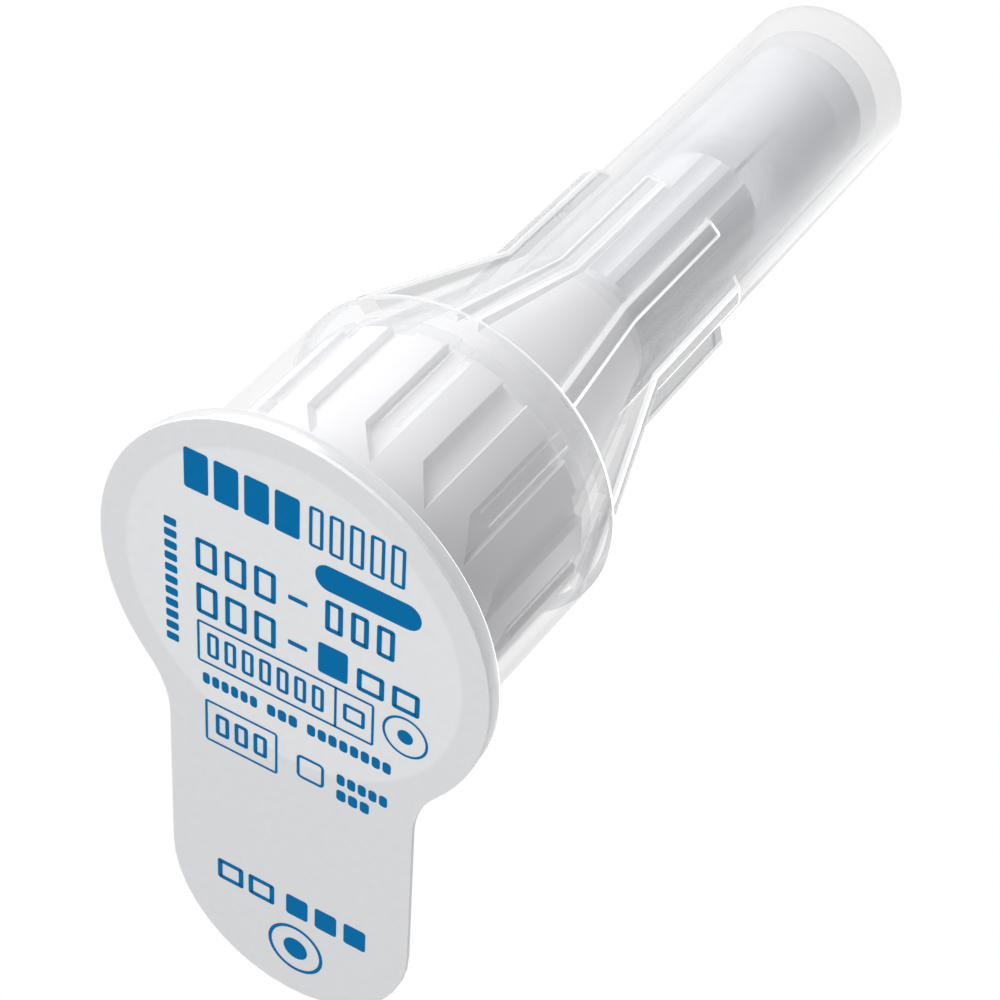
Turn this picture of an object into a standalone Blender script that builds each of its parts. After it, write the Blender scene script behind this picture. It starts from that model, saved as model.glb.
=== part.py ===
"""Pen needle in its sealed container, standing on the peel seal: metres, +Z towards the container's tip.

The sizes run outwards from the pen's thread and the needle: hub over socket, container over hub, inner shield over
snout, tube over inner shield. Outlines are lists of (radius, height, corner round) and are revolved about Z.
"""

import math

import bmesh
import bpy
from mathutils import Matrix, Vector

MM = 0.001

# Peel seal: a disc on the flange, with its pull tab along +Y
SEAL_THICKNESS = 0.15 * MM
SEAL_OVERHANG = 0.05 * MM
TAB_REACH = 18.3 * MM
TAB_WIDTH = 9.8 * MM
TAB_NECK_ROUND = 3.5 * MM
BOND_LINE = 0.02 * MM

# Needle
CANNULA_RADIUS = 0.115 * MM
CANNULA_WALL = 0.055 * MM
NEEDLE_LENGTH = 6.0 * MM
REAR_NEEDLE_LENGTH = 5.2 * MM
BEVEL_ANGLE = math.radians(17)
REAR_BEVEL_ANGLE = math.radians(24)

# Hub socket for the pen
THREAD_RADIUS = 4.5 * MM
THREAD_HEIGHT = 0.35 * MM
THREAD_PITCH = 1.2 * MM
THREAD_TURNS = 4
THREAD_START = 1.3 * MM
HUB_RECESS = 0.85 * MM
SOCKET_DEPTH = 7.6 * MM
SOCKET_WALL = 0.92 * MM

# Gripping pads round the socket. Each groove between them starts at the collar with a slanting, ramped end
PAD_COUNT = 16
PAD_HEIGHT = 0.36 * MM
PAD_LENGTH = 7.6 * MM
COLLAR_LENGTH = 1.4 * MM
GROOVE_WIDTH = 1.06 * MM
GROOVE_SLANT = 1.3 * MM
FIRST_PAD_ANGLE = math.radians(-48.4)

# Hub cone, its core from below, and the column that carries the cannula
CONE_BASE_INSET = 1.08 * MM
CONE_TOP_RADIUS = 2.65 * MM
CONE_WALL = 0.95 * MM
CONE_LENGTH = 8.7 * MM
BULKHEAD_BOSS = 0.8 * MM
COLUMN_RADIUS = 1.1 * MM
CORE_HEADROOM = 2.2 * MM

# Snout
SNOUT_RADIUS = 2.17 * MM
SNOUT_LENGTH = 9.3 * MM
SNOUT_ROUND = 0.45 * MM
FLUTE_COUNT = 12
FLUTE_RADIUS = 0.5 * MM
FLUTE_DEPTH = 0.2 * MM
WELL_RADIUS = 0.6 * MM
WELL_DEPTH = 1.0 * MM

# Inner shield
SHIELD_FIT = 0.06 * MM
SHIELD_WALL = 0.62 * MM
SHIELD_TAPER = 0.24 * MM
SHIELD_SEAT = 0.1 * MM
SHIELD_END_WALL = 0.85 * MM
SHIELD_END_ROUND = 0.4 * MM
NEEDLE_HEADROOM = 0.5 * MM

# Container
FLANGE_WIDTH = 1.1 * MM
FLANGE_THICKNESS = 0.57 * MM
LEAD_IN = 0.6 * MM
HUB_CLEARANCE = 0.06 * MM
SKIRT_WALL = 0.56 * MM
SHOULDER_CLEARANCE = 0.5 * MM
SHOULDER_WALL = 0.6 * MM
SHOULDER_ROUND = 0.3 * MM
CONE_CLEARANCE = 0.35 * MM
CONTAINER_CONE_WALL = 0.62 * MM
TUBE_CLEARANCE = 0.16 * MM
TUBE_END_CLEARANCE = 0.22 * MM
TUBE_WALL = 0.56 * MM
TUBE_LEAD = 0.9 * MM
TIP_CLEARANCE = 0.85 * MM
TIP_WALL = 1.15 * MM
TIP_ROUND = 0.6 * MM

# Fins outside and torque ribs inside the container
FIN_COUNT = 9
FIN_THICKNESS = 0.8 * MM
FIN_STAND = 0.52 * MM
FIN_TOP = 5.4 * MM
FIN_RUNOUT = 0.9 * MM
FIN_EDGE_ROUND = 0.1 * MM
FIRST_FIN_ANGLE = math.radians(-47.5)
RIB_COUNT = 8
RIB_SIDE_CLEARANCE = 0.22 * MM
RIB_FLOOR_CLEARANCE = 0.12 * MM
RIB_RISE = 0.4 * MM

# Clearance round the cannula in its bore and in the glue
BORE_CLEARANCE = 0.02 * MM
GLUE_CLEARANCE = 0.01 * MM

FULL_TURN = 2 * math.pi
ROUND_STEPS = 3
# Facets round each piece: a multiple of its fins and ribs, or of its pads and flutes, so that each sits alike on them
CONTAINER_FACETS = 72
HUB_FACETS = 48
SHIELD_FACETS = 48

# Heights, from the table up
flange_bottom = SEAL_THICKNESS + BOND_LINE
flange_top = flange_bottom + FLANGE_THICKNESS
hub_bottom = SEAL_THICKNESS + HUB_RECESS
collar_top = hub_bottom + COLLAR_LENGTH
pad_top = hub_bottom + PAD_LENGTH
bulkhead = hub_bottom + SOCKET_DEPTH
cone_bottom = pad_top + 0.5 * MM
hub_step = bulkhead + CONE_LENGTH + 0.4 * MM
snout_top = hub_step + SNOUT_LENGTH
needle_tip = snout_top + NEEDLE_LENGTH
rear_tip = bulkhead - REAR_NEEDLE_LENGTH
shield_mouth = hub_step + SHIELD_SEAT
shield_inner_end = needle_tip + NEEDLE_HEADROOM
shield_end = shield_inner_end + SHIELD_END_WALL
shoulder_underside = pad_top + SHOULDER_CLEARANCE
shoulder_top = shoulder_underside + SHOULDER_WALL
tube_bottom = hub_step - TUBE_LEAD
tube_inner_end = shield_end + TIP_CLEARANCE
container_top = tube_inner_end + TIP_WALL
fin_top = tube_bottom + FIN_TOP

# Radii, from the axis out
groove_floor = THREAD_RADIUS + SOCKET_WALL
pad_radius = groove_floor + PAD_HEIGHT
cone_base_radius = pad_radius - CONE_BASE_INSET
skirt_inner = pad_radius + HUB_CLEARANCE
skirt_radius = skirt_inner + SKIRT_WALL
flange_radius = skirt_radius + FLANGE_WIDTH
seal_radius = flange_radius + SEAL_OVERHANG
shield_mouth_bore = SNOUT_RADIUS + SHIELD_FIT
shield_mouth_radius = shield_mouth_bore + SHIELD_WALL
shield_end_radius = shield_mouth_radius - SHIELD_TAPER
tube_base_bore = shield_mouth_radius + TUBE_CLEARANCE
tube_end_bore = shield_end_radius + TUBE_END_CLEARANCE
tube_base_radius = tube_base_bore + TUBE_WALL
tube_end_radius = tube_end_bore + TUBE_WALL
cone_inner_base = cone_base_radius + CONE_CLEARANCE
cone_outer_base = cone_inner_base + CONTAINER_CONE_WALL
bore_radius = CANNULA_RADIUS + BORE_CLEARANCE


def clear_scene():
    for old in list(bpy.data.objects):
        bpy.data.objects.remove(old, do_unlink=True)


def plastic(name, colour, roughness, alpha=1.0, metallic=0.0):
    """A Principled material; colour is linear RGB."""
    material = bpy.data.materials.new(name)
    material.use_nodes = True
    shader = material.node_tree.nodes["Principled BSDF"]
    shader.inputs["Base Color"].default_value = (*colour, 1.0)
    shader.inputs["Roughness"].default_value = roughness
    shader.inputs["Metallic"].default_value = metallic
    shader.inputs["Alpha"].default_value = alpha
    return material


def finished_object(name, shape, material=None):
    """Closes a bmesh into a named object with its faces turned outwards."""
    bmesh.ops.recalc_face_normals(shape, faces=shape.faces)
    mesh = bpy.data.meshes.new(name)
    shape.to_mesh(mesh)
    shape.free()
    piece = bpy.data.objects.new(name, mesh)
    bpy.context.scene.collection.objects.link(piece)
    if material:
        mesh.materials.append(material)
    return piece


def boolean(piece, operation, other):
    """Applies another object to a piece as a live Boolean and hides it as a helper."""
    other.hide_render = True
    other.display_type = "WIRE"
    modifier = piece.modifiers.new(other.name, "BOOLEAN")
    modifier.operation = operation
    modifier.solver = "EXACT"
    modifier.object = other


def rounded(corners):
    """Turns (radius, height, round) corners into a list of points, with an arc of ROUND_STEPS at each round."""
    points = []
    count = len(corners)
    for index, (radius, height, corner_round) in enumerate(corners):
        corner = Vector((radius, height))
        if corner_round == 0:
            points.append(corner)
            continue
        before = (Vector(corners[index - 1][:2]) - corner).normalized()
        after = (Vector(corners[(index + 1) % count][:2]) - corner).normalized()
        half_angle = before.angle(after) / 2
        reach = corner_round / math.tan(half_angle)
        centre = corner + (before + after).normalized() * corner_round / math.sin(half_angle)
        start = corner + before * reach - centre
        sweep = start.angle_signed(corner + after * reach - centre)
        for step in range(ROUND_STEPS + 1):
            turn = Matrix.Rotation(-sweep * step / ROUND_STEPS, 2)
            points.append(centre + turn @ start)
    return points


def revolved(name, corners, segments, material, on_axis=False):
    """Revolves an outline about Z. An outline that starts and ends on the axis isn't joined end to end."""
    shape = bmesh.new()
    ring = [shape.verts.new((point.x, 0, point.y)) for point in rounded(corners)]
    edges = [shape.edges.new(pair) for pair in zip(ring, ring[1:])]
    if not on_axis:
        edges.append(shape.edges.new((ring[-1], ring[0])))
    bmesh.ops.spin(
        shape, geom=ring + edges, cent=(0, 0, 0), axis=(0, 0, 1), angle=FULL_TURN, steps=segments, use_merge=True
    )
    bmesh.ops.remove_doubles(shape, verts=shape.verts, dist=0.0001 * MM)
    bmesh.ops.dissolve_degenerate(shape, edges=shape.edges, dist=0.00001 * MM)
    return finished_object(name, shape, material)


def add_plate(shape, outline, thickness, angle, edge_round=0.0, foot_slant=0.0):
    """Adds an upright plate, drawn as (radius, height) points, at an angle round Z. A slant lifts one side's foot."""
    face_points = [Vector((radius, -thickness / 2, height)) for radius, height in outline]
    face = shape.faces.new([shape.verts.new(point) for point in face_points])
    extruded = bmesh.ops.extrude_face_region(shape, geom=[face])["geom"]
    far_verts = [item for item in extruded if isinstance(item, bmesh.types.BMVert)]
    bmesh.ops.translate(shape, verts=far_verts, vec=(0, thickness, 0))
    for index in (0, -1):
        face.verts[index].co.z += foot_slant
    verts = list(face.verts) + far_verts
    if edge_round:
        rims = {edge for vert in verts for edge in vert.link_edges if is_outer_long_edge(edge, outline)}
        rounded_geometry = bmesh.ops.bevel(
            shape, geom=list(rims), offset=edge_round, segments=2, profile=0.5, affect="EDGES", clamp_overlap=True
        )
        verts = list(set(vert for vert in verts if vert.is_valid) | set(rounded_geometry["verts"]))
    bmesh.ops.rotate(shape, verts=verts, cent=(0, 0, 0), matrix=Matrix.Rotation(angle, 3, "Z"))


def is_outer_long_edge(edge, outline):
    """True for the edges that run along the first four points of a plate's outline, its free side."""
    free_side = [Vector(point) for point in outline[:4]]
    ends = [Vector((vert.co.x, vert.co.z)) for vert in edge.verts]
    along_plate = abs(edge.verts[0].co.y - edge.verts[1].co.y) < 0.001 * MM
    on_free_side = all(min((end - point).length for point in free_side) < 0.001 * MM for end in ends)
    return along_plate and on_free_side


def make_peel_seal():
    half_width = TAB_WIDTH / 2
    end_centre = TAB_REACH - half_width
    neck_x = half_width + TAB_NECK_ROUND
    neck_y = math.sqrt((seal_radius + TAB_NECK_ROUND) ** 2 - neck_x**2)
    neck_angle = math.atan2(neck_y, neck_x)
    outline = []
    disc_steps, neck_steps, end_steps = 56, 8, 20
    for step in range(disc_steps + 1):
        angle = math.pi - neck_angle + (math.pi + 2 * neck_angle) * step / disc_steps
        outline.append((seal_radius * math.cos(angle), seal_radius * math.sin(angle)))
    for step in range(1, neck_steps + 1):
        angle = math.pi + neck_angle * (1 - step / neck_steps)
        outline.append((neck_x + TAB_NECK_ROUND * math.cos(angle), neck_y + TAB_NECK_ROUND * math.sin(angle)))
    for step in range(end_steps + 1):
        angle = math.pi * step / end_steps
        outline.append((half_width * math.cos(angle), end_centre + half_width * math.sin(angle)))
    for step in range(neck_steps):
        angle = -neck_angle * step / neck_steps
        outline.append((-neck_x + TAB_NECK_ROUND * math.cos(angle), neck_y + TAB_NECK_ROUND * math.sin(angle)))
    shape = bmesh.new()
    face = shape.faces.new([shape.verts.new((x, y, 0)) for x, y in outline])
    extruded = bmesh.ops.extrude_face_region(shape, geom=[face])["geom"]
    upper = [item for item in extruded if isinstance(item, bmesh.types.BMVert)]
    bmesh.ops.translate(shape, verts=upper, vec=(0, 0, SEAL_THICKNESS))
    finished_object("peel_seal", shape, plastic("printed seal film", (0.68, 0.70, 0.72), 0.35))


def container_body(material):
    corners = [
        (0, container_top, 0),
        (tube_end_radius, container_top, TIP_ROUND),
        (tube_base_radius, tube_bottom, 0),
        (cone_outer_base, shoulder_top, 0),
        (skirt_radius, shoulder_top, SHOULDER_ROUND),
        (skirt_radius, flange_top, 0.2 * MM),
        (flange_radius, flange_top, 0.15 * MM),
        (flange_radius, flange_bottom, 0),
        (skirt_inner + LEAD_IN, flange_bottom, 0),
        (skirt_inner, flange_top + LEAD_IN / 2, 0),
        (skirt_inner, shoulder_underside, 0.25 * MM),
        (cone_inner_base, shoulder_underside, 0),
        (tube_base_bore, tube_bottom, 0),
        (tube_end_bore, tube_inner_end, 0.4 * MM),
        (0, tube_inner_end, 0),
    ]
    return revolved("outer_shield", corners, CONTAINER_FACETS, material, on_axis=True)


def container_fins():
    """Nine gussets from the shoulder rim along the cone and the tube, each rooted in the wall's thickness."""
    root = TUBE_WALL / 2
    knee = tube_bottom - FIN_STAND
    taper = (tube_base_radius - tube_end_radius) / (container_top - tube_bottom)
    tube_at_top = tube_base_radius - taper * FIN_TOP
    outline = [
        (skirt_radius - 0.7 * SHOULDER_ROUND, shoulder_top - 0.35 * SHOULDER_ROUND),
        (tube_base_radius + FIN_STAND, knee),
        (tube_at_top + FIN_STAND, fin_top),
        (tube_at_top - root, fin_top + FIN_RUNOUT),
        (tube_base_radius - root, tube_bottom),
        (cone_outer_base - root, shoulder_top - root),
        (skirt_radius - SHOULDER_ROUND, shoulder_top - root),
    ]
    shape = bmesh.new()
    for number in range(FIN_COUNT):
        angle = FIRST_FIN_ANGLE + FULL_TURN * number / FIN_COUNT
        add_plate(shape, outline, FIN_THICKNESS, angle, edge_round=FIN_EDGE_ROUND)
    return finished_object("fins", shape)


def container_ribs():
    """Torque ribs inside the skirt, in every other groove of the hub, so that the container turns the hub."""
    root = SKIRT_WALL / 2
    crest = groove_floor + RIB_FLOOR_CLEARANCE
    bottom = collar_top + GROOVE_SLANT + RIB_RISE
    outline = [
        (crest, bottom + skirt_inner - crest),
        (crest, shoulder_underside + root),
        (skirt_inner + root, shoulder_underside + root),
        (skirt_inner + root, bottom),
        (skirt_inner, bottom),
    ]
    shape = bmesh.new()
    for number in range(RIB_COUNT):
        angle = FIRST_PAD_ANGLE + math.pi / PAD_COUNT + FULL_TURN * number / RIB_COUNT
        add_plate(shape, outline, GROOVE_WIDTH - 2 * RIB_SIDE_CLEARANCE, angle)
    return finished_object("torque_ribs", shape)


def make_outer_shield():
    body = container_body(plastic("translucent polypropylene", (0.86, 0.88, 0.90), 0.18, alpha=0.35))
    boolean(body, "UNION", container_fins())
    boolean(body, "UNION", container_ribs())


def hub_body(material):
    column_foot = bulkhead - BULKHEAD_BOSS
    core_top = hub_step - CORE_HEADROOM
    core_base_radius = cone_base_radius - CONE_WALL
    slope = (cone_base_radius - CONE_TOP_RADIUS) / (hub_step - cone_bottom)
    core_top_radius = CONE_TOP_RADIUS + slope * CORE_HEADROOM - CONE_WALL
    well_bottom = snout_top - WELL_DEPTH
    corners = [
        (bore_radius, well_bottom, 0),
        (WELL_RADIUS, snout_top, 0),
        (SNOUT_RADIUS, snout_top, SNOUT_ROUND),
        (SNOUT_RADIUS, hub_step, 0),
        (CONE_TOP_RADIUS, hub_step, 0.2 * MM),
        (cone_base_radius, cone_bottom, 0),
        (groove_floor - 0.1 * MM, pad_top, 0),
        (pad_radius, pad_top, 0.15 * MM),
        (pad_radius, hub_bottom, 0.2 * MM),
        (THREAD_RADIUS + 0.3 * MM, hub_bottom, 0),
        (THREAD_RADIUS, hub_bottom + 0.3 * MM, 0),
        (THREAD_RADIUS, bulkhead, 0.3 * MM),
        (core_base_radius, bulkhead, 0),
        (core_top_radius, core_top, 0.3 * MM),
        (COLUMN_RADIUS, core_top, 0.3 * MM),
        (COLUMN_RADIUS, bulkhead, 0),
        (COLUMN_RADIUS / 2, column_foot, 0.15 * MM),
        (bore_radius, column_foot, 0),
    ]
    return revolved("hub", corners, HUB_FACETS, material)


def pad_grooves():
    """Cutters for the grooves between the pads. Each is open above, and its ramped foot slants up on one side."""
    outline = [
        (groove_floor, collar_top + PAD_HEIGHT),
        (groove_floor, pad_top + PAD_HEIGHT),
        (pad_radius + PAD_HEIGHT, pad_top + PAD_HEIGHT),
        (pad_radius + PAD_HEIGHT, collar_top - PAD_HEIGHT),
    ]
    shape = bmesh.new()
    for number in range(PAD_COUNT):
        angle = FIRST_PAD_ANGLE + FULL_TURN * (number + 0.5) / PAD_COUNT
        add_plate(shape, outline, GROOVE_WIDTH, angle, foot_slant=GROOVE_SLANT)
    return finished_object("pad_grooves", shape)


def snout_flutes():
    """Round cutters for the flutes along the snout, open at its tip."""
    length = SNOUT_LENGTH + FLUTE_RADIUS
    run_in = 0.8 * MM
    shape = bmesh.new()
    for number in range(FLUTE_COUNT):
        angle = FULL_TURN * number / FLUTE_COUNT + math.pi / HUB_FACETS
        centre = Matrix.Rotation(angle, 4, "Z") @ Matrix.Translation(
            (SNOUT_RADIUS - FLUTE_DEPTH + FLUTE_RADIUS, 0, hub_step + run_in + length / 2)
        )
        bmesh.ops.create_cone(
            shape, cap_ends=True, segments=12, radius1=FLUTE_RADIUS, radius2=FLUTE_RADIUS, depth=length, matrix=centre
        )
    return finished_object("snout_flutes", shape)


def socket_thread():
    """A trapezoid ridge on a helix inside the socket. Its ends sink into the wall."""
    steps_per_turn = 24
    steps = steps_per_turn * THREAD_TURNS
    run_out = steps_per_turn // 6
    buried = THREAD_RADIUS + SOCKET_WALL / 3
    root_half, crest_half = THREAD_PITCH * 0.34, THREAD_PITCH * 0.12
    shape = bmesh.new()
    sections = []
    for step in range(steps + 1):
        shown = min(1.0, step / run_out, (steps - step) / run_out)
        crest = THREAD_RADIUS + SOCKET_WALL / 6 - (THREAD_HEIGHT + SOCKET_WALL / 6) * shown
        height = hub_bottom + THREAD_START + THREAD_PITCH * step / steps_per_turn
        turn = Matrix.Rotation(FULL_TURN * step / steps_per_turn + math.pi / HUB_FACETS, 3, "Z")
        corners = [(buried, -root_half), (crest, -crest_half), (crest, crest_half), (buried, root_half)]
        sections.append([shape.verts.new(turn @ Vector((radius, 0, height + up))) for radius, up in corners])
    for lower, upper in zip(sections, sections[1:]):
        for side in range(4):
            after = (side + 1) % 4
            shape.faces.new((lower[side], lower[after], upper[after], upper[side]))
    shape.faces.new(sections[0])
    shape.faces.new(reversed(sections[-1]))
    return finished_object("socket_thread", shape)


def make_hub():
    body = hub_body(plastic("hub polypropylene", (0.78, 0.80, 0.82), 0.30))
    boolean(body, "DIFFERENCE", pad_grooves())
    boolean(body, "DIFFERENCE", snout_flutes())
    boolean(body, "UNION", socket_thread())


def slant_end(tube, height, angle, pointing):
    """Grinds one end of the cannula to a bevel. The sharp side keeps its height; pointing is 1 for up, -1 for down."""
    for vert in tube.data.vertices:
        if abs(vert.co.z - height) < CANNULA_RADIUS:
            vert.co.z -= pointing * (vert.co.x + CANNULA_RADIUS) / math.tan(angle)


def make_cannula():
    bore = CANNULA_RADIUS - CANNULA_WALL
    corners = [
        (bore, rear_tip, 0),
        (CANNULA_RADIUS, rear_tip, 0),
        (CANNULA_RADIUS, needle_tip, 0),
        (bore, needle_tip, 0),
    ]
    steel = plastic("needle steel", (0.62, 0.62, 0.63), 0.22, metallic=1.0)
    tube = revolved("cannula", corners, 20, steel)
    slant_end(tube, needle_tip, BEVEL_ANGLE, 1)
    slant_end(tube, rear_tip, REAR_BEVEL_ANGLE, -1)


def make_adhesive():
    """The cured bead that fills the glue well round the cannula and stands a little proud of the snout."""
    inner = CANNULA_RADIUS + GLUE_CLEARANCE
    crown = 0.25 * MM
    side_gap = GLUE_CLEARANCE * 2
    well_bottom = snout_top - WELL_DEPTH
    depth_left = (inner + 0.05 * MM - bore_radius) / (WELL_RADIUS - bore_radius) * WELL_DEPTH
    corners = [
        (inner, well_bottom + depth_left + side_gap, 0),
        (WELL_RADIUS - side_gap, snout_top, 0),
        (WELL_RADIUS - 0.15 * MM, snout_top + crown / 2, 0),
        (inner, snout_top + crown, 0),
    ]
    revolved("cannula_adhesive", corners, 24, plastic("cured adhesive", (0.82, 0.84, 0.80), 0.2, alpha=0.7))


def make_inner_shield():
    corners = [
        (0, shield_end, 0),
        (shield_end_radius, shield_end, SHIELD_END_ROUND),
        (shield_mouth_radius, shield_mouth, 0.15 * MM),
        (shield_mouth_bore, shield_mouth, 0.1 * MM),
        (shield_mouth_bore, snout_top, 0),
        (shield_mouth_bore - SHIELD_TAPER, shield_inner_end, 0.3 * MM),
        (0, shield_inner_end, 0),
    ]
    material = plastic("inner shield polypropylene", (0.80, 0.84, 0.88), 0.25, alpha=0.8)
    revolved("inner_shield", corners, SHIELD_FACETS, material, on_axis=True)


clear_scene()
make_peel_seal()
make_outer_shield()
make_hub()
make_cannula()
make_adhesive()
make_inner_shield()
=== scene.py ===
import math

import bmesh
import bpy
from mathutils import Matrix, Vector


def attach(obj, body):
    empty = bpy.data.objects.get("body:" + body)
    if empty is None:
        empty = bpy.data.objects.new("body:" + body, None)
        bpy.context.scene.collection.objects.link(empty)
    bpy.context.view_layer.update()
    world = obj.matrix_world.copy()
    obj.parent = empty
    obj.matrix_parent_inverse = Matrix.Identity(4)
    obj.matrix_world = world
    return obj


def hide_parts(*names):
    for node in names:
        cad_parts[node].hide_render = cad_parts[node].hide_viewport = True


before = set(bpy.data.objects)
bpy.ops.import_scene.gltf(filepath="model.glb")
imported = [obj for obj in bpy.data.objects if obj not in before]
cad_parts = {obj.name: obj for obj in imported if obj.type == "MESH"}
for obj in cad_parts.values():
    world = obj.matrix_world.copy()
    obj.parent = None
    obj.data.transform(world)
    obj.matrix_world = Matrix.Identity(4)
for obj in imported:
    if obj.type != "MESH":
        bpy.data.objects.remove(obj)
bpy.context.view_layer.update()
MM = 0.001


# Cannula. A drawn stainless tube, 0.23 mm thick, ground to a bevel at both ends and glued into the hub.
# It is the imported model's own piece, here given its bright steel. Sizes, here and in every section, are
# in millimetres.
DRAW_LINE = 0.03
DRAW_STRETCH = 0.02


def linear(hex_colour):
    """An sRGB hex colour as linear RGBA."""
    channels = [int(hex_colour[start : start + 2], 16) / 255 for start in (1, 3, 5)]
    return [c / 12.92 if c <= 0.04045 else ((c + 0.055) / 1.055) ** 2.4 for c in channels] + [1.0]


def new_finish(name):
    """A material with an empty node tree."""
    material = bpy.data.materials.new(name)
    material.use_nodes = True
    material.node_tree.nodes.clear()
    return material


def add(material, kind, inputs, **settings):
    """Adds a shader node. An input is a value or another node's output."""
    node = material.node_tree.nodes.new(kind)
    for name, value in settings.items():
        setattr(node, name, value)
    for name, value in inputs.items():
        if isinstance(value, bpy.types.NodeSocket):
            material.node_tree.links.new(value, node.inputs[name])
        else:
            node.inputs[name].default_value = value
    return node


def dress(piece, *finishes):
    """Puts the finishes in the piece's slots in order, and keeps which face has which slot."""
    slots = piece.data.materials
    for number, finish in enumerate(finishes):
        if number < len(slots):
            slots[number] = finish
        else:
            slots.append(finish)


# Drawn stainless 304: bright, with faint draw lines along the tube
steel = new_finish("drawn stainless 304")
place = add(steel, "ShaderNodeTexCoord", {})
along = add(
    steel,
    "ShaderNodeMapping",
    {"Vector": place.outputs["Object"], "Scale": (1.0, 1.0, DRAW_STRETCH)},
)
draw_lines = add(
    steel,
    "ShaderNodeTexNoise",
    {"Vector": along.outputs["Vector"], "Scale": 1 / (DRAW_LINE * MM), "Detail": 2.0},
)
streak = add(
    steel,
    "ShaderNodeMapRange",
    {"Value": draw_lines.outputs["Fac"], "To Min": 0.14, "To Max": 0.26},
)
steel_face = add(
    steel,
    "ShaderNodeBsdfPrincipled",
    {"Base Color": linear("#CBCCCE"), "Metallic": 1.0, "Roughness": streak.outputs["Result"]},
)
add(steel, "ShaderNodeOutputMaterial", {"Surface": steel_face.outputs[0]})
dress(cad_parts["cannula"], steel)


# Hub. Natural polypropylene, moulded in one shot: sixteen gripping pads round the pen's socket, a cone,
# and a fluted snout that holds the inner shield. The cannula is glued into a well at the snout's end.
HUB_STEPS = 192
PADS = 16
PAD_R = 5.78
PAD_ROOT_R = 5.32
PAD_TOP = 8.6
FIRST_PAD = math.radians(-48.4)
HUB_FOOT = 1.0
HUB_COLLAR = 2.4
GROOVE_R = 5.42
GROOVE_FLOOR = 1.0
GROOVE_LIP_R = 5.71
GROOVE_WIDTH = 1.06
GROOVE_MOUTH_R = 5.79
GROOVE_MOUTH = 1.18
GROOVE_CUT_R = 6.3
GROOVE_SLANT = 1.3
GROOVE_END = 9.3
SOCKET_R = 4.5
MOUTH_R = 4.8
MOUTH_DEPTH = 1.3
BULKHEAD = 8.6
THREAD_R = 4.15
THREAD_ROOT_R = 4.68
THREAD_CREST = 0.28
THREAD_ROOT = 0.82
THREAD_TURNS = 4
THREAD_PITCH = 1.2
THREAD_START = 2.3
THREAD_STEPS = 192
CONE_FOOT = 9.1
CONE_FOOT_R = 4.7
CONE_END_R = 2.65
HOLLOW_FOOT_R = 3.75
HOLLOW_END = 15.5
HOLLOW_END_R = 2.22
COLUMN_R = 1.1
BOSS = 7.8
BOSS_R = 0.55
BORE_FOR_CANNULA_R = 0.135
HUB_STEP = 17.7
SNOUT_R = 2.17
SNOUT_END = 27.0
WELL_R = 0.6
WELL_FOOT = 26.0
FLUTES = 12
FLUTE_STEPS = 24
FLUTE_R = 0.5
FLUTE_AXIS_R = 2.47
FLUTE_MIDDLE = 23.4
FLUTE_LENGTH = 9.8
FIRST_FLUTE = math.radians(3.75)
SAME_PLACE = 0.0002
ON_RING = 0.003
CREASE = math.radians(30)
PEBBLE = 0.3
PEBBLE_DEPTH = 0.01
MILK_CLOUD = 4.0


def turned(outline, steps, closed=True):
    """Spins a (radius, height) outline about Z into a bmesh."""
    shape = bmesh.new()
    line = [shape.verts.new((radius * MM, 0, height * MM)) for radius, height in outline]
    edges = [shape.edges.new(pair) for pair in zip(line, line[1:])]
    if closed:
        edges.append(shape.edges.new((line[-1], line[0])))
    bmesh.ops.spin(
        shape,
        geom=line + edges,
        cent=(0, 0, 0),
        axis=(0, 0, 1),
        angle=2 * math.pi,
        steps=steps,
        use_merge=True,
    )
    bmesh.ops.remove_doubles(shape, verts=shape.verts, dist=SAME_PLACE * MM)
    bmesh.ops.recalc_face_normals(shape, faces=shape.faces)
    return shape


def on_ring(vert, radius, height):
    """Tells whether a point lies on the circle at one radius and height."""
    off_radius = abs(vert.co.xy.length / MM - radius)
    off_height = abs(vert.co.z / MM - height)
    return max(off_radius, off_height) < ON_RING


def round_ring(shape, radius, height, size, segments=3, slot=-1):
    """Rounds the circular edge that lies at one radius and height."""
    ring = [
        edge for edge in shape.edges if all(on_ring(vert, radius, height) for vert in edge.verts)
    ]
    bmesh.ops.bevel(
        shape,
        geom=ring,
        offset=size * MM,
        affect="EDGES",
        segments=segments,
        profile=0.5,
        material=slot,
        clamp_overlap=True,
    )


def block(shape, outline, depth):
    """Adds the solid between a flat outline and its copy at a depth, both in metres, and returns the two
    rows of corners."""
    near = [shape.verts.new(point) for point in outline]
    bmesh.ops.extrude_face_region(shape, geom=[shape.faces.new(near)])
    far = [
        edge.other_vert(vert)
        for vert in near
        for edge in vert.link_edges
        if edge.other_vert(vert) not in near
    ]
    bmesh.ops.translate(shape, verts=far, vec=depth)
    return near, far


def as_object(name, shape):
    """Turns a bmesh into an object of the scene."""
    mesh = bpy.data.meshes.new(name)
    shape.to_mesh(mesh)
    shape.free()
    piece = bpy.data.objects.new(name, mesh)
    bpy.context.scene.collection.objects.link(piece)
    return piece


def join_or_cut(piece, operation, other):
    """Applies a Boolean with another shape and takes that shape away."""
    tool = as_object("tool", other)
    for material in piece.data.materials:
        tool.data.materials.append(material)
    modifier = piece.modifiers.new("joint", "BOOLEAN")
    modifier.operation = operation
    modifier.object = tool
    evaluated = piece.evaluated_get(bpy.context.evaluated_depsgraph_get())
    result = bpy.data.meshes.new_from_object(evaluated)
    piece.modifiers.clear()
    old = piece.data
    piece.data = result
    result.name = piece.name
    bpy.data.meshes.remove(old)
    bpy.data.objects.remove(tool)


def polish(piece):
    """Shades round faces smooth and keeps the moulded edges crisp."""
    piece.data.shade_smooth()
    piece.data.set_sharp_from_angle(angle=CREASE)


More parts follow.
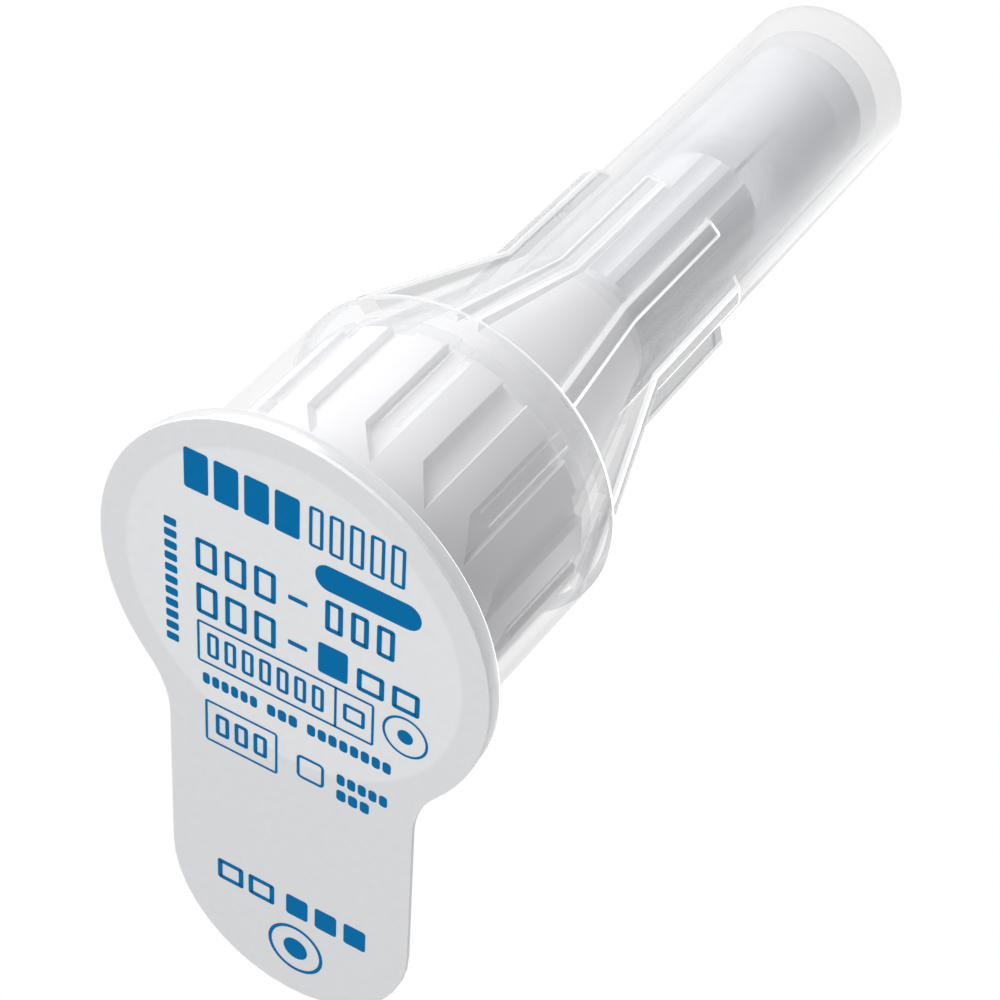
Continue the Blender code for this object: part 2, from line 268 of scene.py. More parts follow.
hub_shape = turned(
    [
        (BORE_FOR_CANNULA_R, WELL_FOOT),
        (WELL_R, SNOUT_END),
        (SNOUT_R, SNOUT_END),
        (SNOUT_R, HUB_STEP),
        (CONE_END_R, HUB_STEP),
        (CONE_FOOT_R, CONE_FOOT),
        (PAD_ROOT_R, PAD_TOP),
        (PAD_R, PAD_TOP),
        (PAD_R, HUB_FOOT),
        (MOUTH_R, HUB_FOOT),
        (SOCKET_R, MOUTH_DEPTH),
        (SOCKET_R, BULKHEAD),
        (HOLLOW_FOOT_R, BULKHEAD),
        (HOLLOW_END_R, HOLLOW_END),
        (COLUMN_R, HOLLOW_END),
        (COLUMN_R, BULKHEAD),
        (BOSS_R, BOSS),
        (BORE_FOR_CANNULA_R, BOSS),
    ],
    HUB_STEPS,
)
round_ring(hub_shape, SNOUT_R, SNOUT_END, size=0.45, segments=4)
round_ring(hub_shape, CONE_END_R, HUB_STEP, size=0.2)
round_ring(hub_shape, PAD_R, PAD_TOP, size=0.2)
round_ring(hub_shape, PAD_R, HUB_FOOT, size=0.15)
round_ring(hub_shape, SOCKET_R, BULKHEAD, size=0.25)
round_ring(hub_shape, CONE_FOOT_R, CONE_FOOT, size=0.3)
hub = as_object("pen_hub", hub_shape)

# Grooves between the pads. Each is cut by a block that widens at the lip and has a slanted foot
half_groove = [
    (GROOVE_R, GROOVE_FLOOR / 2),
    (GROOVE_LIP_R, GROOVE_WIDTH / 2),
    (GROOVE_MOUTH_R, GROOVE_MOUTH / 2),
    (GROOVE_CUT_R, GROOVE_MOUTH / 2),
]
groove = [(radius, -side) for radius, side in half_groove] + half_groove[::-1]
grooves = bmesh.new()
for number in range(PADS):
    end, foot = block(
        grooves,
        [(radius * MM, side * MM, GROOVE_END * MM) for radius, side in groove],
        (0, 0, (HUB_COLLAR - GROOVE_END) * MM),
    )
    for vert in foot:
        radius = vert.co.x / MM
        side = vert.co.y / MM
        slant = GROOVE_SLANT * (0.5 - side / GROOVE_WIDTH)
        vert.co.z = (HUB_COLLAR + slant + PAD_R - radius) * MM
    turn = Matrix.Rotation(FIRST_PAD + 2 * math.pi * (number + 0.5) / PADS, 3, "Z")
    bmesh.ops.rotate(grooves, verts=end + foot, cent=(0, 0, 0), matrix=turn)
bmesh.ops.recalc_face_normals(grooves, faces=grooves.faces)
join_or_cut(hub, "DIFFERENCE", grooves)

# Flutes round the snout, each the edge of a thin cylinder
flutes = bmesh.new()
for number in range(FLUTES):
    turn = Matrix.Rotation(2 * math.pi * number / FLUTES + FIRST_FLUTE, 4, "Z")
    stand = Matrix.Translation((FLUTE_AXIS_R * MM, 0, FLUTE_MIDDLE * MM))
    bmesh.ops.create_cone(
        flutes,
        cap_ends=True,
        segments=FLUTE_STEPS,
        radius1=FLUTE_R * MM,
        radius2=FLUTE_R * MM,
        depth=FLUTE_LENGTH * MM,
        matrix=turn @ stand,
    )
join_or_cut(hub, "DIFFERENCE", flutes)

# Thread for the pen, one ridge wound up the socket's wall
ridge = [
    (THREAD_ROOT_R, -THREAD_ROOT / 2),
    (THREAD_R, -THREAD_CREST / 2),
    (THREAD_R, THREAD_CREST / 2),
    (THREAD_ROOT_R, THREAD_ROOT / 2),
]
thread = bmesh.new()
ridge_end = thread.faces.new(
    [thread.verts.new((radius * MM, 0, (THREAD_START + rise) * MM)) for radius, rise in ridge]
)
bmesh.ops.spin(
    thread,
    geom=[ridge_end],
    cent=(0, 0, 0),
    axis=(0, 0, 1),
    angle=2 * math.pi * THREAD_TURNS,
    steps=THREAD_STEPS,
    dvec=(0, 0, THREAD_TURNS * THREAD_PITCH / THREAD_STEPS * MM),
)
bmesh.ops.recalc_face_normals(thread, faces=thread.faces)
join_or_cut(hub, "UNION", thread)
polish(hub)

# Natural polypropylene, moulded: milky white and satin, with the faint pebble of a blasted mould, which is
# drawn coarser than it is so that it shows
natural_pp = new_finish("natural polypropylene")
place = add(natural_pp, "ShaderNodeTexCoord", {})
pebble = add(
    natural_pp,
    "ShaderNodeTexNoise",
    {"Vector": place.outputs["Object"], "Scale": 1 / (PEBBLE * MM), "Detail": 3.0},
)
milk = add(
    natural_pp,
    "ShaderNodeTexNoise",
    {"Vector": place.outputs["Object"], "Scale": 1 / (MILK_CLOUD * MM), "Detail": 1.0},
)
milky_white = add(
    natural_pp,
    "ShaderNodeMix",
    {0: milk.outputs["Fac"], 6: linear("#EFEFF1"), 7: linear("#F6F6F8")},
    data_type="RGBA",
)
sheen = add(
    natural_pp,
    "ShaderNodeMapRange",
    {"Value": pebble.outputs["Fac"], "To Min": 0.30, "To Max": 0.42},
)
dimple = add(
    natural_pp,
    "ShaderNodeBump",
    {"Height": pebble.outputs["Fac"], "Strength": 0.12, "Distance": PEBBLE_DEPTH * MM},
)
natural_pp_face = add(
    natural_pp,
    "ShaderNodeBsdfPrincipled",
    {
        "Base Color": milky_white.outputs[2],
        "Roughness": sheen.outputs["Result"],
        "Normal": dimple.outputs["Normal"],
        "IOR": 1.49,
    },
)
add(natural_pp, "ShaderNodeOutputMaterial", {"Surface": natural_pp_face.outputs[0]})
dress(hub, natural_pp)
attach(hub, "root")
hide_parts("hub")


# Adhesive bead. Light-cured acrylic that wets the well at the snout's end, water-clear and glossy. It is
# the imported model's own piece.
RIPPLE = 0.4
RIPPLE_DEPTH = 0.01

# Light-cured acrylic: nearly clear, with the faint ripple of a drop that set as it flowed
cured_acrylic = new_finish("light-cured acrylic")
place = add(cured_acrylic, "ShaderNodeTexCoord", {})
wave = add(
    cured_acrylic,
    "ShaderNodeTexNoise",
    {"Vector": place.outputs["Object"], "Scale": 1 / (RIPPLE * MM), "Detail": 1.0},
)
ripple = add(
    cured_acrylic,
    "ShaderNodeBump",
    {"Height": wave.outputs["Fac"], "Strength": 0.2, "Distance": RIPPLE_DEPTH * MM},
)
cured_face = add(
    cured_acrylic,
    "ShaderNodeBsdfPrincipled",
    {
        "Base Color": linear("#E6E9E4"),
        "Roughness": 0.08,
        "IOR": 1.48,
        "Alpha": 0.7,
        "Normal": ripple.outputs["Normal"],
    },
)
add(cured_acrylic, "ShaderNodeOutputMaterial", {"Surface": cured_face.outputs[0]})
dress(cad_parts["cannula_adhesive"], cured_acrylic)


# Inner shield. A thin tapered cap of polypropylene with a closed end, pushed over the snout. It guards the
# needle after the container is off, and lets the snout show through dimly.
CAP_STEPS = 128
CAP_MOUTH = 17.8
CAP_MOUTH_R = 2.85
CAP_END = 34.35
CAP_END_R = 2.61
CAP_BORE_R = 2.23
CAP_BORE_END = 33.5
CAP_BORE_END_R = 1.99
HAZE_START = 26.6
HAZE_FULL = 28.8
CAP_CLOUD = 5.0

cap_shape = turned(
    [
        (0.0, CAP_END),
        (CAP_END_R, CAP_END),
        (CAP_MOUTH_R, CAP_MOUTH),
        (CAP_BORE_R, CAP_MOUTH),
        (CAP_BORE_R, SNOUT_END),
        (CAP_BORE_END_R, CAP_BORE_END),
        (0.0, CAP_BORE_END),
    ],
    CAP_STEPS,
    closed=False,
)
round_ring(cap_shape, CAP_END_R, CAP_END, size=0.4, segments=5)
round_ring(cap_shape, CAP_BORE_END_R, CAP_BORE_END, size=0.3, segments=4)
round_ring(cap_shape, CAP_MOUTH_R, CAP_MOUTH, size=0.12)
cap = as_object("needle_cap", cap_shape)
polish(cap)


def density(material, least, most, in_shadow, start=0.0, end=1.0):
    """How dense a clear wall is: most where it is seen edge-on, and thin to light that passes through it."""
    facing = add(material, "ShaderNodeLayerWeight", {"Blend": 0.5})
    seen = add(
        material,
        "ShaderNodeMapRange",
        {
            "Value": facing.outputs["Facing"],
            "From Min": start,
            "From Max": end,
            "To Min": least,
            "To Max": most,
        },
    )
    ray = add(material, "ShaderNodeLightPath", {})
    share = add(
        material,
        "ShaderNodeMapRange",
        {"Value": ray.outputs["Is Shadow Ray"], "To Min": 1.0, "To Max": in_shadow},
    )
    both = add(
        material,
        "ShaderNodeMath",
        {0: seen.outputs["Result"], 1: share.outputs["Result"]},
        operation="MULTIPLY",
    )
    return both.outputs["Value"]


# Thin-walled polypropylene: half clear round the snout, and hazier past it, where the wall thickens
cap_pp = new_finish("thin-walled polypropylene")
place = add(cap_pp, "ShaderNodeTexCoord", {})
cloud = add(
    cap_pp,
    "ShaderNodeTexNoise",
    {"Vector": place.outputs["Object"], "Scale": 1 / (CAP_CLOUD * MM), "Detail": 1.0},
)
cap_white = add(
    cap_pp,
    "ShaderNodeMix",
    {0: cloud.outputs["Fac"], 6: linear("#E6E8EB"), 7: linear("#EEF0F2")},
    data_type="RGBA",
)
spot = add(cap_pp, "ShaderNodeSeparateXYZ", {0: place.outputs["Object"]})
least, most = (
    add(
        cap_pp,
        "ShaderNodeMapRange",
        {
            "Value": spot.outputs["Z"],
            "From Min": HAZE_START * MM,
            "From Max": HAZE_FULL * MM,
            "To Min": at_snout,
            "To Max": past_snout,
        },
        interpolation_type="SMOOTHSTEP",
    )
    for at_snout, past_snout in ((0.14, 0.55), (0.65, 0.95))
)
cap_face = add(
    cap_pp,
    "ShaderNodeBsdfPrincipled",
    {
        "Base Color": cap_white.outputs[2],
        "Roughness": 0.3,
        "IOR": 1.49,
        "Specular IOR Level": 0.15,
        "Alpha": density(
            cap_pp, least.outputs["Result"], most.outputs["Result"], 0.1, start=0.35, end=0.9
        ),
    },
)
add(cap_pp, "ShaderNodeOutputMaterial", {"Surface": cap_face.outputs[0]})
dress(cap, cap_pp)
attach(cap, "root")
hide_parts("inner_shield")


# Container. Clear polypropylene, moulded round a core: flange, skirt with torque ribs inside, shoulder,
# cone with nine fins, and a closed tube. Its walls are nearly invisible, and its rounded edges are painted
# near-opaque white, a painted highlight for the bright lines that the light draws along them.
SHELL_STEPS = 144
FLANGE_R = 7.5
FLANGE_FOOT = 0.17
FLANGE_TOP = 0.74
SKIRT_R = 6.4
BORE_R = 5.84
LEAD_IN = 1.04
LEAD_IN_R = 6.44
SHOULDER = 9.7
SHOULDER_BORE = 9.1
SHELL_CONE_R = 5.67
SHELL_CONE_BORE_R = 5.05
TUBE_FOOT = 16.8
TUBE_FOOT_R = 3.57
TUBE_BORE_R = 3.01
TIP = 36.35
TIP_R = 3.39
TIP_BORE = 35.2
TIP_BORE_R = 2.83
FINS = 9
FIN_THICKNESS = 0.8
FIN_ROUND = 0.17
FIN_FOOT = 9.22
FIN_FOOT_R = 6.403
FIN_SHOULDER_R = 6.34
FIN_BEND = 16.28
FIN_BEND_R = 4.09
FIN_END = 22.2
FIN_END_R = 4.04
FIN_TOP = 23.1
FIN_TOP_R = 3.24
FIN_ROOT = 9.42
FIN_ROOT_R = 5.39
FIN_TUBE_ROOT_R = 3.29
FIN_RIM_ROOT_R = 6.1
FIRST_FIN = math.radians(-47.5)
RIBS = 8
RIB_THICKNESS = 0.62
RIB_ROUND = 0.05
RIB_R = 5.54
RIB_FOOT = 4.1
RIB_LEAD = 4.4
RIB_END = 9.38
RIB_ROOT_R = 6.12
HAZE_CLOUD = 6.0
LEEWAY = 0.06
FIRST_RIB = FIRST_PAD + math.pi / PADS
WALL, EDGE, TUBE, FLANGE, FIN = range(5)


def plates(outline, thickness, angles, free, edge_round, corner=None, slot=WALL):
    """Upright plates round Z, each from a (radius, height) outline. The edges along its first free points,
    and the one across its corner point, are rounded."""
    shape = bmesh.new()
    for angle in angles:
        rows = block(
            shape,
            [(radius * MM, -thickness / 2 * MM, height * MM) for radius, height in outline],
            (0, thickness * MM, 0),
        )
        verts = set(rows[0] + rows[1])
        for face in {face for vert in verts for face in vert.link_faces}:
            face.material_index = slot
        rims = [shape.edges.get(row[number : number + 2]) for row in rows for number in range(free - 1)]
        if corner is not None:
            rims.append(shape.edges.get((rows[0][corner], rows[1][corner])))
        made = bmesh.ops.bevel(
            shape,
            geom=rims,
            offset=edge_round * MM,
            affect="EDGES",
            segments=2,
            profile=0.5,
            material=EDGE,
            clamp_overlap=True,
        )
        verts = {vert for vert in verts if vert.is_valid} | set(made["verts"])
        turn = Matrix.Rotation(angle, 3, "Z")
        bmesh.ops.rotate(shape, verts=list(verts), cent=(0, 0, 0), matrix=turn)
    bmesh.ops.recalc_face_normals(shape, faces=shape.faces)
    return shape


# Clear polypropylene in five looks, in the order of the slots. A wall has low haze and is denser where it is
# seen edge-on, and more so on the tube. A rounded edge is painted near-opaque white as a painted highlight,
# and its metal part reflects the room like a mirror. The flange is seen through its depth, and the fins
# through theirs, with a greyer tint that is partly their depth and partly painted shade for the dark that
# refraction gives
finishes = []
for name, first, second, least, most, rough, metal in (
    ("clear polypropylene", "#E6E7E9", "#EFEFF1", 0.11, 0.28, 0.16, 0.0),
    # The edge look: near-opaque white, a painted highlight of the bright line a clear edge catches
    ("clear polypropylene edge highlight", "#F9FAFB", "#FFFFFF", 0.82, 0.92, 0.22, 0.65),
    ("clear polypropylene tube", "#DADBDD", "#E3E3E5", 0.1, 0.46, 0.16, 0.0),
    ("clear polypropylene flange", "#F0F1F2", "#F6F7F8", 0.6, 0.7, 0.3, 0.35),
    # The fin look: its greyer tint is partly the fins' depth and partly painted shade, the dark that
    # refraction gives through them
    ("clear polypropylene fin with painted shade", "#CACBCD", "#D3D4D6", 0.3, 0.46, 0.16, 0.0),
):
    clear_pp = new_finish(name)
    place = add(clear_pp, "ShaderNodeTexCoord", {})
    haze = add(
        clear_pp,
        "ShaderNodeTexNoise",
        {"Vector": place.outputs["Object"], "Scale": 1 / (HAZE_CLOUD * MM), "Detail": 2.0},
    )
    tint = add(
        clear_pp,
        "ShaderNodeMix",
        {0: haze.outputs["Fac"], 6: linear(first), 7: linear(second)},
        data_type="RGBA",
    )
    clear_face = add(
        clear_pp,
        "ShaderNodeBsdfPrincipled",
        {
            "Base Color": tint.outputs[2],
            "Metallic": metal,
            "Roughness": rough,
            "IOR": 1.49,
            "Specular IOR Level": 0.15,
            "Alpha": density(clear_pp, least, most, 0.06),
        },
    )
    add(clear_pp, "ShaderNodeOutputMaterial", {"Surface": clear_face.outputs[0]})
    finishes.append(clear_pp)

shell_shape = turned(
    [
        (0.0, TIP),
        (TIP_R, TIP),
        (TUBE_FOOT_R, TUBE_FOOT),
        (SHELL_CONE_R, SHOULDER),
        (SKIRT_R, SHOULDER),
        (SKIRT_R, FLANGE_TOP),
        (FLANGE_R, FLANGE_TOP),
        (FLANGE_R, FLANGE_FOOT),
        (LEAD_IN_R, FLANGE_FOOT),
        (BORE_R, LEAD_IN),
        (BORE_R, SHOULDER_BORE),
        (SHELL_CONE_BORE_R, SHOULDER_BORE),
        (TUBE_BORE_R, TUBE_FOOT),
        (TIP_BORE_R, TIP_BORE),
        (0.0, TIP_BORE),
    ],
    SHELL_STEPS,
    closed=False,
)
round_ring(shell_shape, TIP_R, TIP, size=0.6, segments=6)
round_ring(shell_shape, SKIRT_R, SHOULDER, size=0.32, segments=4, slot=EDGE)
round_ring(shell_shape, FLANGE_R, FLANGE_TOP, size=0.07, slot=EDGE)
round_ring(shell_shape, FLANGE_R, FLANGE_FOOT, size=0.06, segments=2)
round_ring(shell_shape, SKIRT_R, FLANGE_TOP, size=0.15)
round_ring(shell_shape, TIP_BORE_R, TIP_BORE, size=0.4, segments=5)
round_ring(shell_shape, BORE_R, SHOULDER_BORE, size=0.25)

# The flange and the tube have looks of their own. Their faces are told by where they lie
for face in shell_shape.faces:
    reach = min(vert.co.xy.length for vert in face.verts) / MM
    high = max(vert.co.z for vert in face.verts) / MM
    if face.material_index == WALL and reach > SKIRT_R - LEEWAY and high < FLANGE_TOP + LEEWAY:
        face.material_index = FLANGE
    if high > TUBE_FOOT + LEEWAY:
        face.material_index = TUBE
shell = as_object("container", shell_shape)
dress(shell, *finishes)

# Fins, from the shoulder up the cone and on to the tube, and torque ribs that stand between the hub's pads.
# The roots of both are sunk in the wall, so that they join on to it
fin = [
    (FIN_FOOT_R, FIN_FOOT),
    (FIN_SHOULDER_R, SHOULDER),
    (FIN_BEND_R, FIN_BEND),
    (FIN_END_R, FIN_END),
    (FIN_TOP_R, FIN_TOP),
    (FIN_TUBE_ROOT_R, TUBE_FOOT),
    (FIN_ROOT_R, FIN_ROOT),
    (FIN_RIM_ROOT_R, FIN_ROOT),
    (FIN_RIM_ROOT_R, FIN_FOOT),
]
fin_angles = [FIRST_FIN + 2 * math.pi * number / FINS for number in range(FINS)]
fin_plates = plates(fin, FIN_THICKNESS, fin_angles, 5, FIN_ROUND, corner=3, slot=FIN)
join_or_cut(shell, "UNION", fin_plates)
rib = [
    (RIB_R, RIB_LEAD),
    (RIB_R, RIB_END),
    (RIB_ROOT_R, RIB_END),
    (RIB_ROOT_R, RIB_FOOT),
    (BORE_R, RIB_FOOT),
]
rib_angles = [FIRST_RIB + 2 * math.pi * number / RIBS for number in range(RIBS)]
join_or_cut(shell, "UNION", plates(rib, RIB_THICKNESS, rib_angles, 2, RIB_ROUND))
polish(shell)
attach(shell, "root")
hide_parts("outer_shield")


# Peel seal. Coated medical paper, heat-sealed to the flange in a ring and cut with a pull tab. The
# sealing head leaves the ring a little darker and pressed. The cut edge is painted pure white, partly the
# paper's own edge and partly a painted highlight of the bright line it catches. It is the packed model's own
# piece.
RING_START = 6.42
RING_FULL = 6.62
RING_DEPTH = 0.02
FIBRE = 0.35

# Coated medical paper: matt and near white, mottled by its fibres, which are drawn coarse enough to show
seal_paper = new_finish("coated medical paper")
place = add(seal_paper, "ShaderNodeTexCoord", {})
flat = add(
    seal_paper,
    "ShaderNodeMapping",
    {"Vector": place.outputs["Object"], "Scale": (1.0, 1.0, 0.0)},
)
from_axis = add(
    seal_paper,
    "ShaderNodeVectorMath",
    {0: flat.outputs["Vector"]},
    operation="LENGTH",
)
pressed = add(
    seal_paper,
    "ShaderNodeMapRange",
    {
        "Value": from_axis.outputs["Value"],
        "From Min": RING_START * MM,
        "From Max": RING_FULL * MM,
    },
    interpolation_type="SMOOTHSTEP",
)
fibre = add(
    seal_paper,
    "ShaderNodeTexNoise",
    {"Vector": place.outputs["Object"], "Scale": 1 / (FIBRE * MM), "Detail": 4.0},
)
tone = add(
    seal_paper,
    "ShaderNodeMix",
    {0: pressed.outputs["Result"], 6: linear("#EFF0F1"), 7: linear("#E7E8EA")},
    data_type="RGBA",
)
mottle = add(
    seal_paper,
    "ShaderNodeMapRange",
    {"Value": fibre.outputs["Fac"], "To Min": 0.96, "To Max": 1.03},
)
mottled = add(
    seal_paper,
    "ShaderNodeVectorMath",
    {0: tone.outputs[2], "Scale": mottle.outputs["Result"]},
    operation="SCALE",
)
# The side faces, the cut edge, are painted pure white: partly the paper's own edge, partly a painted
# highlight
normal = add(seal_paper, "ShaderNodeSeparateXYZ", {0: place.outputs["Normal"]})
level = add(seal_paper, "ShaderNodeMath", {0: normal.outputs["Z"]}, operation="ABSOLUTE")
on_face = add(
    seal_paper,
    "ShaderNodeMapRange",
    {"Value": level.outputs["Value"], "From Min": 0.4, "From Max": 0.6},
)
paper_and_edge_highlight = add(
    seal_paper,
    "ShaderNodeMix",
    {0: on_face.outputs["Result"], 6: linear("#FFFFFF"), 7: mottled.outputs["Vector"]},
    data_type="RGBA",
)
surface = add(
    seal_paper,
    "ShaderNodeMath",
    {0: pressed.outputs["Result"], 1: fibre.outputs["Fac"]},
    operation="ADD",
)
press_mark = add(
    seal_paper,
    "ShaderNodeBump",
    {"Height": surface.outputs["Value"], "Strength": 0.25, "Distance": RING_DEPTH * MM},
)
paper_face = add(
    seal_paper,
    "ShaderNodeBsdfPrincipled",
    {
        "Base Color": paper_and_edge_highlight.outputs[2],
        "Roughness": 0.5,
        "Normal": press_mark.outputs["Normal"],
    },
)
add(seal_paper, "ShaderNodeOutputMaterial", {"Surface": paper_face.outputs[0]})
dress(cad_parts["peel_seal"], seal_paper)


# Print on the seal. Blue flexographic ink, a few micrometres thick: plain bars, boxes and rings in the
# places of a label's words and marks. Places and sizes are in millimetres on the seal's outer face.
INK_LIFT = -0.008
BLOCK_ROUND = 0.12
INK_CLOUD = 0.5

ink_shape = bmesh.new()


def keep_line(faces, line):
    """Leaves only a line along the edge of each face."""
    bmesh.ops.inset_individual(ink_shape, faces=faces, thickness=line * MM)
    bmesh.ops.delete(ink_shape, geom=faces, context="FACES")


def ink_plate(centre, size, round_by, line=0.0):
    """A printed bar or, with a line width, its outline."""
    earlier = set(ink_shape.faces)
    move = Matrix.Translation((centre[0] * MM, centre[1] * MM, INK_LIFT * MM))
    grow = Matrix.Diagonal((size[0] * MM, size[1] * MM, 1, 1))
    made = bmesh.ops.create_grid(
        ink_shape, x_segments=1, y_segments=1, size=0.5, matrix=move @ grow
    )
    if round_by:
        bmesh.ops.bevel(
            ink_shape,
            geom=made["verts"],
            offset=round_by * MM,
            affect="VERTICES",
            segments=6,
            profile=0.5,
            material=-1,
        )
    if line:
        keep_line([face for face in ink_shape.faces if face not in earlier], line)


def ink_ring(centre, radius, line=0.0):
    """A printed disc or, with a line width, a ring."""
    move = Matrix.Translation((centre[0] * MM, centre[1] * MM, INK_LIFT * MM))
    made = bmesh.ops.create_circle(
        ink_shape, cap_ends=True, segments=48, radius=radius * MM, matrix=move
    )
    if line:
        keep_line(list({face for vert in made["verts"] for face in vert.link_faces}), line)


def ink_row(first, last, y, height, count, gap=0.22, line=0.0):
    """A row of equal blocks between two places along X, such as a word's letters would fill."""
    width = (last - first - gap * (count - 1)) / count
    for number in range(count):
        centre = (first + width / 2 + (width + gap) * number, y)
        ink_plate(centre, (width, height), BLOCK_ROUND, line=line)


# The large row at the top, the pill under its end and the small row up the left side
ink_row(-4.1, 0.35, -4.45, 1.7, 4)
ink_row(0.7, 4.3, -4.45, 1.7, 5, line=0.13)
ink_plate((2.95, -2.55), (4.0, 1.08), 0.53)
for number in range(11):
    ink_plate((-4.7, -1.75 + 0.52 * number), (0.5, 0.34), 0.08)

# Two rows of boxes, each with a dash in the middle
for y in (-0.95, 1.05):
    ink_row(-3.7, -0.55, y, 1.35, 3, gap=0.3, line=0.19)
    ink_plate((0.3, y), (0.75, 0.2), 0.05)
ink_row(1.35, 4.0, -0.95, 1.35, 3, gap=0.3, line=0.19)
ink_row(1.1, 2.25, 1.05, 1.35, 1)
ink_row(2.6, 5.0, 1.2, 1.0, 2, gap=0.3, line=0.19)

# The framed row, with a narrow field at its end and a ring beside it
ink_plate((-0.2, 3.0), (7.0, 1.9), BLOCK_ROUND, line=0.1)
ink_row(-3.3, 1.35, 3.0, 1.1, 7, line=0.14)
ink_plate((1.8, 3.0), (0.1, 1.8), 0.0)
ink_row(2.1, 2.95, 3.0, 0.8, 1, line=0.14)
ink_ring((4.5, 2.8), 0.88, line=0.1)
ink_ring((4.5, 2.8), 0.3)

# Small print, and a framed box, a square and two short rows under it
ink_row(-3.5, -1.3, 4.65, 0.5, 6, gap=0.1)
ink_row(-0.9, 0.3, 4.65, 0.5, 3, gap=0.1)
ink_row(0.7, 4.0, 4.65, 0.5, 8, gap=0.1)
ink_plate((-1.95, 6.6), (2.95, 1.95), BLOCK_ROUND, line=0.1)
ink_row(-3.0, -0.9, 6.6, 1.0, 3, line=0.16)
ink_plate((0.85, 6.6), (1.1, 1.1), 0.2, line=0.12)
ink_row(1.9, 3.9, 6.3, 0.5, 5, gap=0.1)
ink_row(1.9, 3.2, 7.05, 0.5, 3, gap=0.1)

# The row and the ring on the tab
ink_row(-3.0, -0.6, 13.8, 1.0, 2, line=0.2)
ink_row(-0.1, 3.2, 13.8, 1.0, 3, gap=0.3)
ink_ring((0.3, 16.0), 1.15, line=0.14)
ink_ring((0.3, 16.0), 0.5)
ink_shape.normal_update()
upward = [face for face in ink_shape.faces if face.normal.z > 0]
bmesh.ops.reverse_faces(ink_shape, faces=upward)
ink = as_object("seal_print", ink_shape)

# Flexographic ink: flat blue, slightly uneven where the plate leaves less of it
blue_ink = new_finish("flexographic ink")
place = add(blue_ink, "ShaderNodeTexCoord", {})
cover = add(
    blue_ink,
    "ShaderNodeTexNoise",
    {"Vector": place.outputs["Object"], "Scale": 1 / (INK_CLOUD * MM), "Detail": 3.0},
)
ink_blue = add(
    blue_ink,
    "ShaderNodeMix",
    {0: cover.outputs["Fac"], 6: linear("#006FA9"), 7: linear("#0275B1")},
    data_type="RGBA",
)
ink_face = add(
    blue_ink,
    "ShaderNodeBsdfPrincipled",
    {"Base Color": ink_blue.outputs[2], "Roughness": 0.5, "Specular IOR Level": 0.05},
)
add(blue_ink, "ShaderNodeOutputMaterial", {"Surface": ink_face.outputs[0]})
dress(ink, blue_ink)
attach(ink, "root")


# Studio. The photograph looks up at the seal from below, so the pale floor shows only from above, where it
# keeps the object's shadow. From below it lets the lamps and the room through.
FLOOR_SIZE = 600
FLOOR_DROP = 0.02
FLOOR_GLOW = 0.3
LAMP_DISTANCE = 300
LAMP_SIZE = 250
LAMP_AIM = 15
AMBIENT = 0.36
CAMERA_PLACE = (45.14, -77.614, -65.206)
CAMERA_TURN = (139.25, -32.309, -3.024)
LENS = 124.75
SENSOR = 36.0
NEAREST = 1.0

floor_shape = bmesh.new()
bmesh.ops.create_grid(
    floor_shape,
    x_segments=2,
    y_segments=2,
    size=FLOOR_SIZE * MM,
    matrix=Matrix.Translation((0, 0, -FLOOR_DROP * MM)),
)
floor = as_object("floor", floor_shape)

# Pale floor: near white. It glows a little to the camera and in reflections, and not on to the object
pale = new_finish("pale floor")
path = add(pale, "ShaderNodeLightPath", {})
in_sight = add(
    pale,
    "ShaderNodeMath",
    {0: path.outputs["Is Camera Ray"], 1: path.outputs["Is Glossy Ray"]},
    operation="ADD",
)
glow_level = add(
    pale,
    "ShaderNodeMath",
    {0: in_sight.outputs["Value"], 1: FLOOR_GLOW},
    operation="MULTIPLY",
)
glow = add(pale, "ShaderNodeEmission", {"Strength": glow_level.outputs["Value"]})
coat = add(pale, "ShaderNodeBsdfDiffuse", {"Color": linear("#EDEDEE")})
paint = add(pale, "ShaderNodeAddShader", {0: coat.outputs[0], 1: glow.outputs[0]})
clear = add(pale, "ShaderNodeBsdfTransparent", {})
geometry = add(pale, "ShaderNodeNewGeometry", {})
light_rays = add(
    pale,
    "ShaderNodeMath",
    {0: path.outputs["Is Shadow Ray"], 1: path.outputs["Is Diffuse Ray"]},
    operation="ADD",
)
unseen = add(
    pale,
    "ShaderNodeMath",
    {0: geometry.outputs["Backfacing"], 1: light_rays.outputs["Value"]},
    operation="ADD",
    use_clamp=True,
)
floor_face = add(
    pale,
    "ShaderNodeMixShader",
    {0: unseen.outputs["Value"], 1: paint.outputs[0], 2: clear.outputs[0]},
)
add(pale, "ShaderNodeOutputMaterial", {"Surface": floor_face.outputs[0]})
dress(floor, pale)


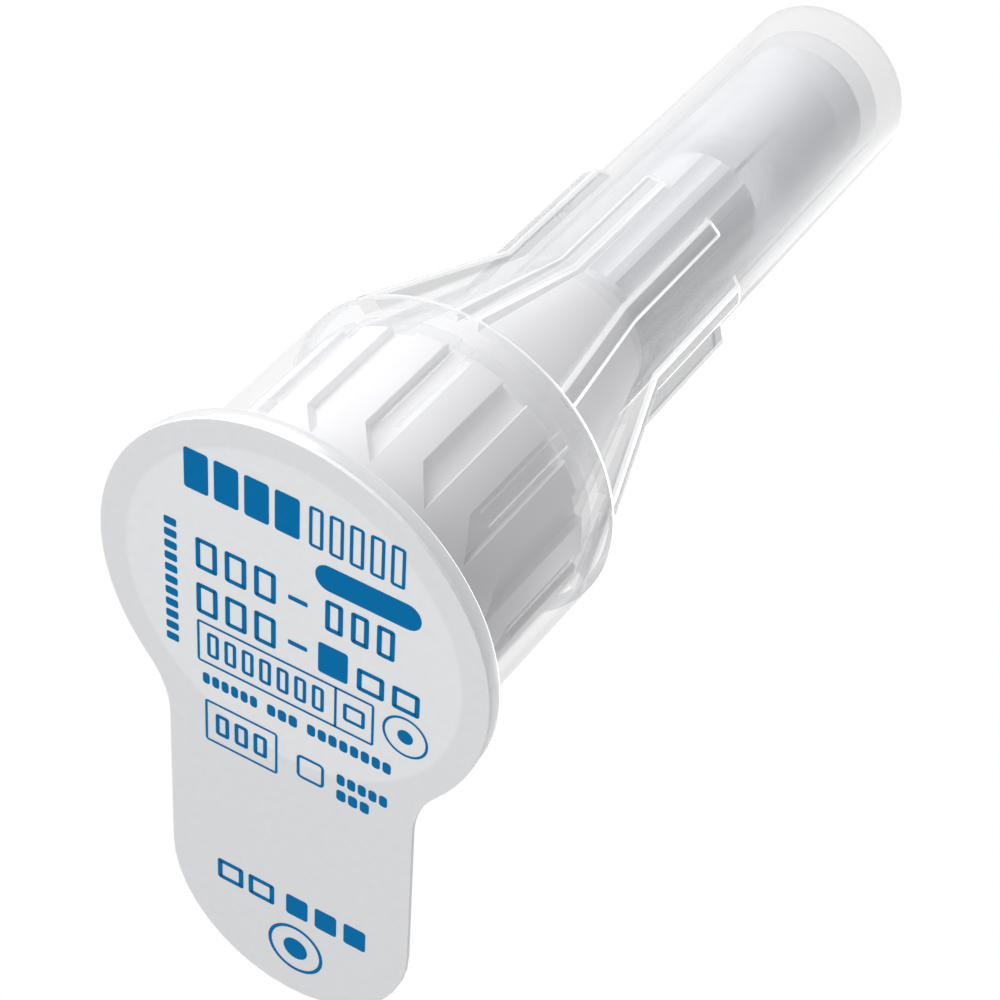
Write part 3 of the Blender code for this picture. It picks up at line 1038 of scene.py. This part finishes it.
def lamp(name, towards, level):
    """A square softbox. Level is what it gives a white surface that faces it."""
    light = bpy.data.lights.new(name, "AREA")
    light.energy = level * (math.pi * LAMP_DISTANCE * MM) ** 2
    light.size = LAMP_SIZE * MM
    lamp_object = bpy.data.objects.new(name, light)
    bpy.context.scene.collection.objects.link(lamp_object)
    aim = Vector(towards).normalized()
    lamp_object.location = aim * LAMP_DISTANCE * MM + Vector((0, 0, LAMP_AIM * MM))
    lamp_object.rotation_euler = aim.to_track_quat("Z", "Y").to_euler()


lamp("key", (-0.64, -0.76, 0.1), 0.85)
lamp("fill_below", (0.0, -0.35, -0.9), 0.55)
lamp("top", (0.2, 0.4, 0.9), 0.35)

# Room: a plain level of light on the object, and white wherever it is seen, reflected or looked at through
# something clear
world = bpy.data.worlds.new("studio")
bpy.context.scene.world = world
world.use_nodes = True
world.node_tree.nodes.clear()
path = add(world, "ShaderNodeLightPath", {})
straight = add(
    world,
    "ShaderNodeMath",
    {0: path.outputs["Is Camera Ray"], 1: path.outputs["Is Transmission Ray"]},
    operation="ADD",
)
in_sight = add(
    world,
    "ShaderNodeMath",
    {0: straight.outputs["Value"], 1: path.outputs["Is Glossy Ray"]},
    operation="ADD",
    use_clamp=True,
)
ambient = add(world, "ShaderNodeBackground", {"Color": (0.99, 0.99, 1.0, 1.0), "Strength": AMBIENT})
backdrop = add(world, "ShaderNodeBackground", {"Color": (1.0, 1.0, 1.0, 1.0), "Strength": 1.0})
room = add(
    world,
    "ShaderNodeMixShader",
    {0: in_sight.outputs["Value"], 1: ambient.outputs[0], 2: backdrop.outputs[0]},
)
add(world, "ShaderNodeOutputWorld", {"Surface": room.outputs[0]})

# Camera at the photograph's viewing angle, found by fitting the object's outline to it
camera = bpy.data.cameras.new("camera")
camera.lens = LENS
camera.sensor_width = SENSOR
camera.clip_start = NEAREST * MM
camera_object = bpy.data.objects.new("camera", camera)
bpy.context.scene.collection.objects.link(camera_object)
camera_object.location = [distance * MM for distance in CAMERA_PLACE]
camera_object.rotation_euler = [math.radians(angle) for angle in CAMERA_TURN]
bpy.context.scene.camera = camera_object
bpy.context.scene.cycles.transparent_max_bounces = 32
bpy.context.scene.view_settings.view_transform = "Standard"
